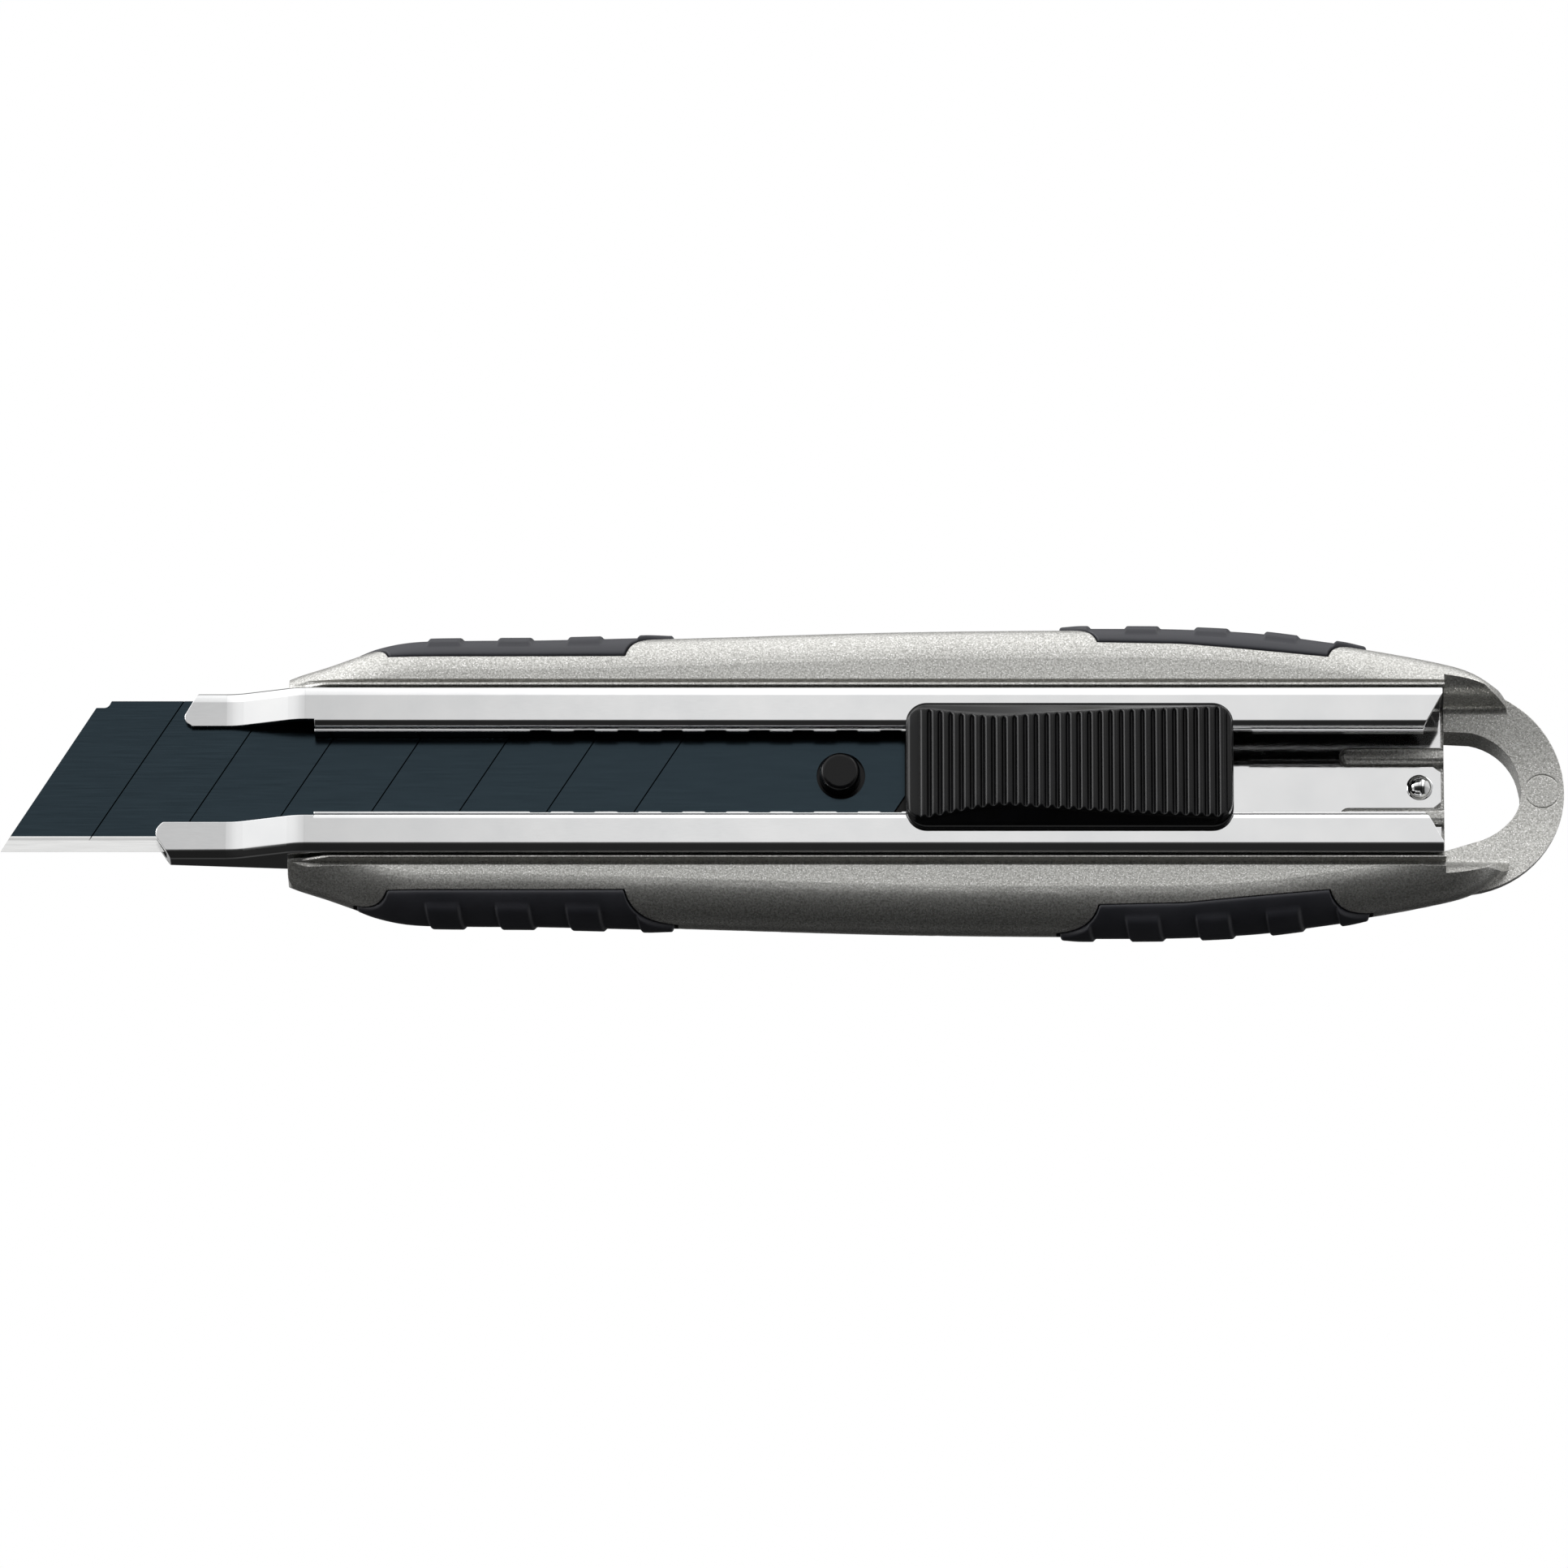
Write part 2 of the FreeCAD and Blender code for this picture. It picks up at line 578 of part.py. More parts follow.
def blade_channel():
    outer = rounded_silhouette(0.0, CHANNEL_HALF_WIDTH, SPINE_BEND, EDGE_BEND)
    inner = rounded_silhouette(SHEET, CHANNEL_INNER_Y, INNER_BEND, INNER_BEND)
    inner = inner.fuse(box(CHANNEL_TAIL_X - 1, CHANNEL_TAIL_X + 1, -9.0, 9.0, FLOOR_Z, RAIL_UNDER_Z))
    shell = outer.cut(inner)
    shell = shell.cut(window())
    shell = shell.multiFuse([rail_lips(SPINE_LIP_Y), mirror_y(rail_lips(EDGE_LIP_Y))]).removeSplitter()
    rest, hollow = blade_rest()
    shell = shell.fuse(rest).cut(hollow)
    shell = shell.common(nose_plan())
    shell = shell.cut(tail_cuts())
    for x in RIVET_XS:
        shell = shell.cut(post(x, 0, 0, FLOOR_Z + 1, RIVET_SHANK))
        shell = shell.cut(Part.makeCone(RIVET_SHANK, RIVET_HEAD, SHEET, vec(x, 0, CHANNEL_BACK_Z)))
    return shell.cut(post(STOP_X, 0, 0, FLOOR_Z + 1, STOP_SHANK))


def tail_cuts():
    """Slots beside the tongue and the slanted rear ends of the rails."""
    inner = TONGUE_HALF_WIDTH
    outer = TONGUE_HALF_WIDTH + TAIL_SLOT_WIDTH
    slot = plan_prism(
        [(TONGUE_X, inner, 1.0), (CHANNEL_TAIL_X + 1, inner, 0), (CHANNEL_TAIL_X + 1, outer, 0),
         (TONGUE_X, outer, 1.0)], 0.0, 8.0)
    corner = plan_prism(
        [(CHANNEL_TAIL_X - 1.0, inner + 0.1, 0), (CHANNEL_TAIL_X + 1, inner - 1.5, 0),
         (CHANNEL_TAIL_X + 1, inner + 0.1, 0)], 0.0, 8.0)
    slant = plan_prism(
        [(RAIL_TAIL_X, 3.9, 0), (RAIL_TAIL_X, 4.9, 0), (CHANNEL_TAIL_X, 8.9, 0),
         (CHANNEL_TAIL_X + 2, 8.9, 0), (CHANNEL_TAIL_X + 2, 3.9, 0)], 8.0, 20.0)
    return both_sides(slot.multiFuse([corner, slant]))


def tail_stop():
    """Domed rivet in the tongue; the slider stops against it."""
    shank = post(STOP_X, 0, CHANNEL_BACK_Z - RIVET_DEPTH, FLOOR_Z, STOP_SHANK)
    ball = Part.makeSphere(STOP_BALL_RADIUS, vec(STOP_X, 0, FLOOR_Z + STOP_RISE - STOP_BALL_RADIUS))
    dome = ball.common(box(STOP_X - 3, STOP_X + 3, -3, 3, FLOOR_Z, FLOOR_Z + 3))
    return dome.fuse(shank).removeSplitter()


def channel_rivets():
    rivets = []
    for x in RIVET_XS:
        head = Part.makeCone(RIVET_SHANK, RIVET_HEAD, SHEET, vec(x, 0, CHANNEL_BACK_Z))
        shank = post(x, 0, CHANNEL_BACK_Z - RIVET_DEPTH, CHANNEL_BACK_Z, RIVET_SHANK)
        rivets.append(head.fuse(shank).removeSplitter())
    return Part.makeCompound(rivets)


# --- blade --------------------------------------------------------------------------


def blade():
    half = BLADE_WIDTH / 2
    mid = BLADE_BACK_Z + BLADE_THICKNESS / 2
    body = cross_prism(
        [(half, BLADE_BACK_Z, 0), (half, BLADE_FACE_Z, 0), (BLADE_BEVEL - half, BLADE_FACE_Z, 0),
         (-half, mid + EDGE_HALF_THICKNESS, 0), (-half, mid - EDGE_HALF_THICKNESS, 0),
         (BLADE_BEVEL - half, BLADE_BACK_Z, 0)], BLADE_TIP_X, BLADE_TAIL_X)
    outline = plan_prism(
        [(BLADE_TIP_X, -half, 0), (BLADE_TAIL_X - SCORE_SLANT * (TAIL_CLIP_Y + half), -half, 0),
         (BLADE_TAIL_X, TAIL_CLIP_Y, 0), (BLADE_TAIL_X, half, 0), (-76.9, half, 0.1), (-77.3, 8.2, 0.75),
         (-78.65, 8.2, 0.1)], 0.0, 20.0)
    body = body.common(outline)
    body = body.cut(post(BLADE_HOLE_X, 0, 0, 20, BLADE_HOLE_RADIUS))
    for i in range(SCORE_COUNT):
        body = body.cut(score_line(FIRST_SCORE_X + i * SEGMENT_PITCH))
    return body


def score_line(x):
    """A slanted V groove across the blade's face, from the spine into the bevel."""
    half = BLADE_WIDTH / 2
    low_y = BLADE_BEVEL - half - 0.45
    high_y = half + 0.5
    low_x = x + SCORE_SLANT * (low_y - FIRST_SCORE_Y)
    high_x = x + SCORE_SLANT * (high_y - FIRST_SCORE_Y)
    top = BLADE_FACE_Z + 0.02
    corners = [vec(low_x - SCORE_HALF_WIDTH, low_y, top), vec(low_x, low_y, top - SCORE_DEPTH),
               vec(low_x + SCORE_HALF_WIDTH, low_y, top)]
    face = Part.Face(Part.makePolygon(corners + corners[:1]))
    return face.extrude(vec(high_x - low_x, high_y - low_y, 0))


# --- slider -------------------------------------------------------------------------


def blade_carrier():
    """Moulded carrier: arm and peg under the blade's tail, block and neck behind it."""
    arm_tail_x = BLADE_TAIL_X + 2
    arm = side_prism(
        [(CARRIER_FRONT_X, 6.0, 0.3), (8.0, CARRIER_FLOOR_Z, 3.0), (arm_tail_x, CARRIER_FLOOR_Z, 0),
         (arm_tail_x, BLADE_BACK_Z, 0), (CARRIER_FRONT_X, BLADE_BACK_Z, 0.3)], -7.5, 7.5)
    block = rounded_plate(BLADE_TAIL_X + 0.3, CARRIER_TAIL_X, -CARRIER_HALF_WIDTH, CARRIER_HALF_WIDTH,
                          0.8, CARRIER_FLOOR_Z, CARRIER_TOP_Z)
    neck = rounded_plate(NECK_FRONT_X, NECK_TAIL_X, -NECK_HALF_WIDTH, NECK_HALF_WIDTH,
                         1.0, CARRIER_TOP_Z - 1, BASE_Z)
    wing = rounded_plate(NECK_FRONT_X, NECK_TAIL_X, WING_INNER_Y, CARRIER_HALF_WIDTH,
                         0.5, CARRIER_TOP_Z - 1, RAIL_UNDER_Z - 0.2)
    carrier = block.multiFuse([arm, neck, both_sides(wing), locating_peg()])
    carrier = carrier.cut(spring_bay())
    carrier = carrier.cut(box(PAWL_X - BOSS_REACH, PAWL_X + BOSS_REACH, -2.9, 2.9,
                              CARRIER_TOP_Z + 0.6, BASE_Z + 1))
    groove = box(41.0, CARRIER_TAIL_X + 1, TONGUE_HALF_WIDTH - 0.1, TONGUE_HALF_WIDTH + TAIL_SLOT_WIDTH + 0.1,
                 0.0, TAIL_RIB_Z + 0.4)
    carrier = carrier.cut(both_sides(groove))
    for x in PIN_XS:
        carrier = carrier.cut(post(x, 0, BASE_Z - 2.5, BASE_Z + 1, PIN_RADIUS))
    return carrier.removeSplitter()


def spring_bay():
    """Room in the carrier's neck for the lock spring."""
    roof = BASE_Z - BAY_ROOF
    leaf = box(SPRING_BAY_X, 39.0, SPRING_INNER_Y - 0.2, WING_INNER_Y, CARRIER_TOP_Z, roof)
    anchor = box(38.0, NECK_TAIL_X - 1, 2.4, WING_INNER_Y, CARRIER_TOP_Z, roof)
    return leaf.fuse(anchor)


def locating_peg():
    """Peg in the blade's hole, with a rounded rim and a flat top."""
    top = BLADE_FACE_Z + PEG_HEIGHT
    peg = post(PEG_X, 0, BLADE_BACK_Z - 0.5, top, PEG_RADIUS)
    top_rim = [edge for edge in peg.Edges if abs(edge.BoundBox.ZMin - top) < 1e-6]
    return peg.makeFillet(PEG_ROUNDING, top_rim)


def slider_base():
    """Flange that rides on the rails, pinned into the carrier's neck."""
    plate = rounded_plate(KNOB_FRONT_X, KNOB_TAIL_X, -KNOB_HALF_WIDTH, KNOB_HALF_WIDTH,
                          KNOB_CORNER, BASE_Z, CAP_Z - 0.08)
    for x in PIN_XS:
        plate = plate.fuse(post(x, 0, BASE_Z - 2.4, BASE_Z + 0.1, PIN_RADIUS))
    slot_half_width = BOSS_HALF_WIDTH + 0.3
    slot = box(PAWL_X - BOSS_REACH, PAWL_X + BOSS_REACH, -slot_half_width, slot_half_width, 0, 20)
    return plate.cut(slot).removeSplitter()


def cap_section(x, field, height):
    """Cross-section of the cap: sloping sides up to the rib field."""
    top = CHANNEL_FACE_Z + height
    skirt = KNOB_HALF_WIDTH - 0.25
    corners = [vec(x, -skirt, CAP_Z), vec(x, skirt, CAP_Z), vec(x, field, top), vec(x, -field, top)]
    return Part.makePolygon(corners + corners[:1])


def thumb_slide():
    """Ribbed cap with the boss that releases the lock when it is pushed either way."""
    sections = [cap_section(x, field, height) for x, field, height in CAP_SECTIONS]
    cap = Part.makeLoft(sections, True, False)
    outline = rounded_plate(KNOB_FRONT_X, KNOB_TAIL_X - 0.05, -KNOB_HALF_WIDTH, KNOB_HALF_WIDTH,
                            KNOB_CORNER, CAP_Z, 30.0)
    cap = cap.common(outline)
    for i in range(RIB_COUNT - 1):
        x = FIRST_RIB_X + (i + 0.5) * RIB_PITCH
        crest = crest_z(x)
        valley = side_prism(
            [(x - 0.35, crest + 0.3, 0), (x, crest - RIB_DEPTH, 0.1), (x + 0.35, crest + 0.3, 0)], -9.0, 9.0)
        cap = cap.cut(valley)
    boss = box(PAWL_X - BOSS_HALF_LENGTH, PAWL_X + BOSS_HALF_LENGTH, -BOSS_HALF_WIDTH, BOSS_HALF_WIDTH,
               FOOT_Z, CAP_Z + 0.5)
    foot = box(PAWL_X - 2.0, PAWL_X + 2.0, -2.6, 2.6, FOOT_Z, BASE_Z - 0.15)
    cam = side_prism(
        [(PAWL_X - 1.6, 10.9, 0), (PAWL_X, 11.9, 0), (PAWL_X + 1.6, 10.9, 0)], -3.0, 3.0)
    return cap.multiFuse([boss, foot]).cut(cam).removeSplitter()


def crest_z(x):
    """Height of the rib field at x, between the cap's sections."""
    for (x0, _, h0), (x1, _, h1) in zip(CAP_SECTIONS, CAP_SECTIONS[1:]):
        if x0 <= x <= x1:
            return CHANNEL_FACE_Z + h0 + (h1 - h0) * (x - x0) / (x1 - x0)
    return CHANNEL_FACE_Z


def lock_spring():
    """Leaf spring on the carrier; its pawl stands in a notch of the channel's lip."""
    wide_y = SPRING_OUTER_Y
    anchor = box(40.0, 47.6, 2.6, wide_y, CARRIER_TOP_Z, CARRIER_TOP_Z + SPRING_SHEET)
    leaf = side_prism(
        [(SPRING_TIP_X, SPRING_TIP_Z - SPRING_SHEET, 0), (34.0, SPRING_TIP_Z - SPRING_SHEET, 3.0),
         (41.0, CARRIER_TOP_Z, 0), (41.0, CARRIER_TOP_Z + SPRING_SHEET, 0), (34.2, SPRING_TIP_Z, 3.0),
         (SPRING_TIP_X, SPRING_TIP_Z, 0)], 2.6, wide_y)
    pad = box(SPRING_TIP_X, 33.6, SPRING_INNER_Y, 3.0, SPRING_TIP_Z - SPRING_SHEET, SPRING_TIP_Z)
    pawl = box(PAWL_X - 1.1, PAWL_X + 1.1, SPINE_LIP_Y, SPINE_LIP_Y + SHEET, SPRING_TIP_Z - 0.1,
               REAR_LIP_Z + NOTCH_DEPTH - 0.15)
    ridge = side_prism(
        [(PAWL_X - 1.2, SPRING_TIP_Z - 0.05, 0), (PAWL_X + 1.2, SPRING_TIP_Z - 0.05, 0),
         (PAWL_X, SPRING_TIP_Z + 0.75, 0.2)], SPRING_INNER_Y, 2.0)
    return anchor.multiFuse([leaf, pad, pawl, ridge]).removeSplitter()


# --- output -------------------------------------------------------------------------


def main():
    shapes = {
        "handle_casting": handle_casting(),
        "blade_channel": blade_channel(),
        "tail_stop": tail_stop(),
        "channel_rivets": channel_rivets(),
        "blade": blade(),
        "blade_carrier": blade_carrier(),
        "slider_base": slider_base(),
        "thumb_slide": thumb_slide(),
        "lock_spring": lock_spring(),
    }
    shapes.update(grips())
    os.makedirs("parts", exist_ok=True)
    for name, shape in shapes.items():
        print(name, "solids", len(shape.Solids), "valid", shape.isValid(), "volume", round(shape.Volume, 1))
        shape.exportStep("parts/" + name + ".step")


main()
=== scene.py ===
import math

import bpy
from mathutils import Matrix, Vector


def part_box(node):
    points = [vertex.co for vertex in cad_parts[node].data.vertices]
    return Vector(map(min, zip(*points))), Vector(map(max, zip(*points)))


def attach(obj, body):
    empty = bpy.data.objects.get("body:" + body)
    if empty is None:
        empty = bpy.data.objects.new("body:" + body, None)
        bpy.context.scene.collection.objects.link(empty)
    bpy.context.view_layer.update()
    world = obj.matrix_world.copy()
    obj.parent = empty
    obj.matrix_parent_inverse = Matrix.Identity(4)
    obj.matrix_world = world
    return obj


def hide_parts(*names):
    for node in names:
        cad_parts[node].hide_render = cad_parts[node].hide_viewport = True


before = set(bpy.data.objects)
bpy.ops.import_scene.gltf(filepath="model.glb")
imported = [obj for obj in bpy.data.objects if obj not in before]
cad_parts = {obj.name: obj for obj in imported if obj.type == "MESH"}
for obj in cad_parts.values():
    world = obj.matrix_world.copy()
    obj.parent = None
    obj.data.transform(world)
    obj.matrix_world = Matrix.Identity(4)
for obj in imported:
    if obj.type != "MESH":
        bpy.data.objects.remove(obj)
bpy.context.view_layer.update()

MM = 0.001

# Camera: a long lens, 18 degrees off the face that carries the slider
CAMERA_ELEVATION = math.radians(72.2)
CAMERA_LENS = 400.0
SENSOR = 36.0
CLIP_START, CLIP_END = 0.05, 20.0
VIEW_WIDTH = 179.9 * MM
VIEW_RISE = 1.87 * MM

# Floor, in metres: just under the knife's back
FLOOR_SIZE = 12.0
FLOOR_Z = -0.0002

# Light tent: (degrees from overhead towards the spine side, brightness)
LIGHT_AROUND = [
    (-180, 0.40), (-175, 0.12), (-168, 0.02), (-140, 0.03), (-132, 0.08), (-118, 0.08), (-110, 0.02),
    (-12, 0.02), (4, 0.08), (11, 0.86), (22, 0.90), (31, 1.3), (60, 1.45), (80, 1.6), (112, 1.6),
    (126, 0.5), (138, 0.08), (146, 0.10), (156, 0.35), (180, 0.40),
]
# Times (share of the direction along the knife, brightness): a dip beside the overhead light,
# and a narrow strip light at either end
LIGHT_ALONG = [
    (-1, 0.15), (-0.93, 0.2), (-0.90, 4.0), (-0.79, 4.0), (-0.75, 0.5), (-0.66, 1.06), (-0.5, 1.1),
    (-0.3, 1.0), (-0.12, 0.80), (-0.05, 0.66), (-0.034, 0.68), (-0.012, 0.97), (0, 1.0), (0.12, 0.9),
    (0.22, 0.5), (0.32, 0.6), (0.37, 1.9), (0.5, 1.9), (0.56, 0.4), (1, 0.15),
]
# Plus a plain card beyond either end
END_CARDS = [(-1, 0.5), (-0.76, 0.35), (-0.66, 0.0), (0.60, 0.0), (0.72, 0.35), (1, 0.5)]

# Flanks of the casting, in millimetres: x and half-width, round at the sides
FLANK_HALF_WIDTHS = [
    (-56.6, 12.2), (-52.5, 13.65), (-49.1, 14.9), (-45.2, 16.1), (-42.0, 16.6),
    (-36.0, 16.75), (-28.0, 16.8), (-14.0, 17.15), (0.0, 17.6), (12.0, 17.95),
    (26.0, 18.15), (38.0, 18.2), (46.0, 18.1), (54.0, 17.65), (61.0, 16.75),
    (68.0, 15.65), (75.0, 14.25), (79.0, 12.95), (81.4, 11.3), (83.2, 9.9),
]
MID_Z = 6.25
FLANK_RADIUS = 4.5

# Rubber inserts, in millimetres
GRIPS = {
    # x of (front tip, front shoulder, rear shoulder, rear tip), inner edge as (x, y), first pad
    "front": ((-48.7, -44.6, -19.0, -12.5), ((-49.7, 14.05), (-11.5, 14.07)), -40.4),
    "rear": ((31.5, 36.6, 61.5, 66.8), ((30.5, 15.9), (45.5, 15.6), (67.8, 13.5)), 31.4),
}
GRIP_TIP = 0.6
GRIP_FULL_HEIGHT = FLANK_RADIUS + 1.0
GRIP_BEND_PLACE = 0.62   # where the tip's outline bends, as a share of its length
GRIP_BEND_HEIGHT = 0.35  # and of its height
GRIP_PROUD = 0.25
GRIP_EDGE = 0.45
GRIP_TUCK = 0.05         # how far the border starts below the flank
GRIP_SINK = 0.9
GRIP_STEP = 0.12
GRIP_COLUMNS = 36
PAD_PROUD = 0.33
PAD_WIDTH = 3.8
PAD_PITCH = 8.0
PAD_SLOPE = 0.45
PAD_END_SLOPE = 0.5
PAD_HALF_HEIGHT = 3.1
PAD_LEAN = 0.5

# Blade's ground edge and score lines
BEVEL_HEIGHT = 1.75 * MM
BEVEL_BLEND = 0.06 * MM
BEVEL_LEAN_BLEND = 0.04 * MM
BEVEL_TILT = 0.3
SCORE_DEPTHS = (0.01 * MM, 0.05 * MM)  # below the blade's face, from no shade to the darkest painted shade in the score lines
SCORE_FADE = 0.5 * MM

# Thumb cap, in millimetres
CAP_FRONT = 13.92
CAP_TAIL = 51.18
CAP_HALF_WIDTH = 7.2
CAP_CORNER = 2.4
CAP_FOOT_Z = 13.3
CAP_FOOT_HEIGHT = 0.12   # of the lowest band of the wall
CAP_FOOT_DRAFT = 0.05
CAP_WALL_BANDS = 4
CAP_SHOULDER = 0.4       # radius between wall and crest, where the cap is tall enough
CAP_SHOULDER_SHARE = 0.6
CAP_SHOULDER_LEAST = 0.02
CAP_SHOULDER_STEPS = 6
CAP_FIELD_MARGIN = 0.25
FACE_Z = 12.5
FIELD_HALF_WIDTHS = [
    (13.92, 6.3), (14.4, 6.45), (15.9, 6.62), (20.0, 5.95), (24.6, 5.43), (28.4, 5.65),
    (33.4, 5.93), (37.8, 6.2), (44.0, 6.45), (50.2, 6.7), (50.9, 6.68), (51.18, 6.6),
]
CREST_HEIGHTS = [
    (13.92, 0.95), (14.4, 1.3), (15.9, 1.62), (20.0, 2.1), (24.6, 2.65), (28.4, 2.78),
    (33.4, 2.68), (37.8, 2.58), (44.0, 2.43), (50.2, 2.28), (50.9, 2.05), (51.18, 1.5),
]
RIB_COUNT = 29
RIB_PITCH = 1.215
RIB_STEPS = 12
FIRST_RIB_X = 15.95
RIB_DEPTH = 0.5
END_GROOVE_SHARE = 0.6   # the grooves outside the first and the last rib are shallower


def linked(obj):
    bpy.context.scene.collection.objects.link(obj)
    return obj


def smooth_step(value):
    value = min(max(value, 0.0), 1.0)
    return value * value * (3.0 - 2.0 * value)


def stretch_at(points, x):
    """Index of the stretch between two (x, y) points that holds x."""
    i = 0
    while i < len(points) - 2 and x > points[i + 1][0]:
        i += 1
    return i


def along(points, x):
    """A smooth curve through (x, y) points, read at x."""
    i = stretch_at(points, x)
    x0, y0 = points[i]
    x1, y1 = points[i + 1]
    span = x1 - x0
    before = after = (y1 - y0) / span
    if i > 0:
        before = (y1 - points[i - 1][1]) / (x1 - points[i - 1][0])
    if i < len(points) - 2:
        after = (points[i + 2][1] - y0) / (points[i + 2][0] - x0)
    t = min(max((x - x0) / span, 0.0), 1.0)
    return (y0 * (1 + 2 * t) * (1 - t) ** 2 + before * span * t * (1 - t) ** 2
            + y1 * t * t * (3 - 2 * t) + after * span * t * t * (t - 1))


def straight_along(points, x):
    """Straight lines through (x, y) points, read at x."""
    i = stretch_at(points, x)
    (x0, y0), (x1, y1) = points[i], points[i + 1]
    return y0 + (y1 - y0) * (x - x0) / (x1 - x0)


def sheet_mesh(name, rows, material):
    """A smooth mesh through rows of points given in millimetres."""
    vertices = [Vector(point) * MM for row in rows for point in row]
    width = len(rows[0])
    faces = []
    for i in range(len(rows) - 1):
        for j in range(width - 1):
            a = i * width + j
            faces.append((a, a + 1, a + width + 1, a + width))
    mesh = bpy.data.meshes.new(name)
    mesh.from_pydata(vertices, [], faces)
    mesh.polygons.foreach_set("use_smooth", [True] * len(faces))
    mesh.materials.append(material)
    return linked(bpy.data.objects.new(name, mesh))


# --- materials ----------------------------------------------------------------------


class Nodes:
    """A node tree being built: nodes are added by type and wired by socket."""

    def __init__(self, tree):
        self.tree = tree

    def add(self, kind, **settings):
        node = self.tree.nodes.new("ShaderNode" + kind)
        for key, value in settings.items():
            setattr(node, key, value)
        return node

    def wire(self, source, target):
        self.tree.links.new(source, target)

    def feed(self, sockets, values):
        """Wires each value that is a socket, and sets the others."""
        for socket, value in zip(sockets, values):
            if isinstance(value, bpy.types.NodeSocket):
                self.wire(value, socket)
            else:
                socket.default_value = value

    def maths(self, operation, first, second=0.0):
        node = self.add("Math", operation=operation)
        self.feed(node.inputs, (first, second))
        return node.outputs[0]

    def vector_maths(self, operation, *vectors):
        node = self.add("VectorMath", operation=operation)
        self.feed(node.inputs, vectors)
        return node.outputs["Vector"]

    def remap(self, value, low, high, to_low, to_high):
        node = self.add("MapRange")
        ends = [node.inputs[name] for name in ("From Min", "From Max", "To Min", "To Max")]
        self.feed([node.inputs["Value"], *ends], (value, low, high, to_low, to_high))
        return node.outputs["Result"]

    def ramp(self, value, *stops):
        node = self.add("ValToRGB")
        elements = node.color_ramp.elements
        while len(elements) < len(stops):
            elements.new(0.5)
        for element, (position, colour) in zip(elements, stops):
            element.position = position
            element.color = (*colour, 1.0)
        self.wire(value, node.inputs["Fac"])
        return node.outputs["Color"]

    def mix(self, factor, first, second):
        node = self.add("Mix", data_type="RGBA")
        self.feed((node.inputs[0], node.inputs[6], node.inputs[7]), (factor, first, second))
        return node.outputs[2]


class Shader(Nodes):
    """A material being built around its own surface shader."""

    def __init__(self, name):
        self.material = bpy.data.materials.new(name)
        self.material.use_nodes = True
        super().__init__(self.material.node_tree)
        self.surface = self.tree.nodes["Principled BSDF"]

    def set(self, **values):
        for key, value in values.items():
            self.surface.inputs[key.replace("_", " ")].default_value = value

    def place(self, stretch=(1.0, 1.0, 1.0)):
        """Object coordinates, stretched along the axes."""
        coordinates = self.add("TexCoord")
        mapping = self.add("Mapping")
        mapping.inputs["Scale"].default_value = stretch
        self.wire(coordinates.outputs["Object"], mapping.inputs["Vector"])
        return mapping.outputs["Vector"]

    def axes(self):
        """Object coordinates as separate x, y and z sockets."""
        node = self.add("SeparateXYZ")
        self.wire(self.add("TexCoord").outputs["Object"], node.inputs["Vector"])
        return node.outputs

    def noise(self, vector, scale, detail=2.0, roughness=0.5):
        node = self.add("TexNoise")
        sockets = [node.inputs[name] for name in ("Vector", "Scale", "Detail", "Roughness")]
        self.feed(sockets, (vector, scale, detail, roughness))
        return node.outputs["Fac"]

    def tilt(self, amount, share):
        """The surface's normal turned towards +Y where share is one."""
        turn = self.add("CombineXYZ")
        self.wire(self.maths("MULTIPLY", share, amount), turn.inputs["Y"])
        normal = self.add("NewGeometry").outputs["Normal"]
        return self.vector_maths("NORMALIZE", self.vector_maths("ADD", normal, turn.outputs["Vector"]))

    def finish(self, colour, roughness):
        self.wire(colour, self.surface.inputs["Base Color"])
        self.wire(roughness, self.surface.inputs["Roughness"])

    def relief(self, height, distance, strength=1.0, edge=0.0, base=None):
        """Bump from a height, on edges rounded in the shading by a small radius or on a base normal."""
        node = self.add("Bump")
        node.inputs["Strength"].default_value = strength
        node.inputs["Distance"].default_value = distance
        self.wire(height, node.inputs["Height"])
        if edge:
            bevel = self.add("Bevel", samples=8)
            bevel.inputs["Radius"].default_value = edge
            base = bevel.outputs["Normal"]
        if base is not None:
            self.wire(base, node.inputs["Normal"])
        self.wire(node.outputs["Normal"], self.surface.inputs["Normal"])


def cast_metal():
    """Die casting under a sparkling lacquer: fine grain, bright flakes, soft blotches."""
    shader = Shader("cast_metal")
    shader.set(Metallic=0.84)
    here = shader.place()
    grain = shader.noise(here, 4200.0, 3.0, 0.6)
    blotch = shader.noise(here, 90.0, 2.0)
    flake = shader.noise(here, 6500.0, 0.0)
    body = shader.ramp(grain, (0.34, (0.36, 0.355, 0.335)), (0.66, (0.76, 0.755, 0.725)))
    body = shader.mix(shader.remap(blotch, 0.35, 0.65, 0.0, 0.10), body, (0.80, 0.79, 0.76, 1.0))
    body = shader.mix(shader.remap(flake, 0.64, 0.72, 0.0, 0.9), body, (0.97, 0.96, 0.94, 1.0))
    shader.finish(body, shader.remap(flake, 0.62, 0.72, 0.40, 0.22))
    shader.relief(grain, 0.025 * MM, 0.8, edge=0.12 * MM)
    return shader.material


def polished_steel():
    """Mirror-polished sheet with the faintest haze and hairline wear."""
    shader = Shader("polished_steel")
    shader.set(Metallic=1.0)
    haze = shader.noise(shader.place(), 160.0, 3.0)
    hairline = shader.noise(shader.place((1.0, 12.0, 12.0)), 700.0, 2.0, 0.7)
    tone = shader.ramp(haze, (0.3, (0.80, 0.805, 0.81)), (0.7, (0.86, 0.86, 0.86)))
    shader.finish(tone, shader.remap(hairline, 0.35, 0.75, 0.04, 0.10))
    shader.relief(hairline, 0.002 * MM, 0.2, edge=0.12 * MM)
    return shader.material


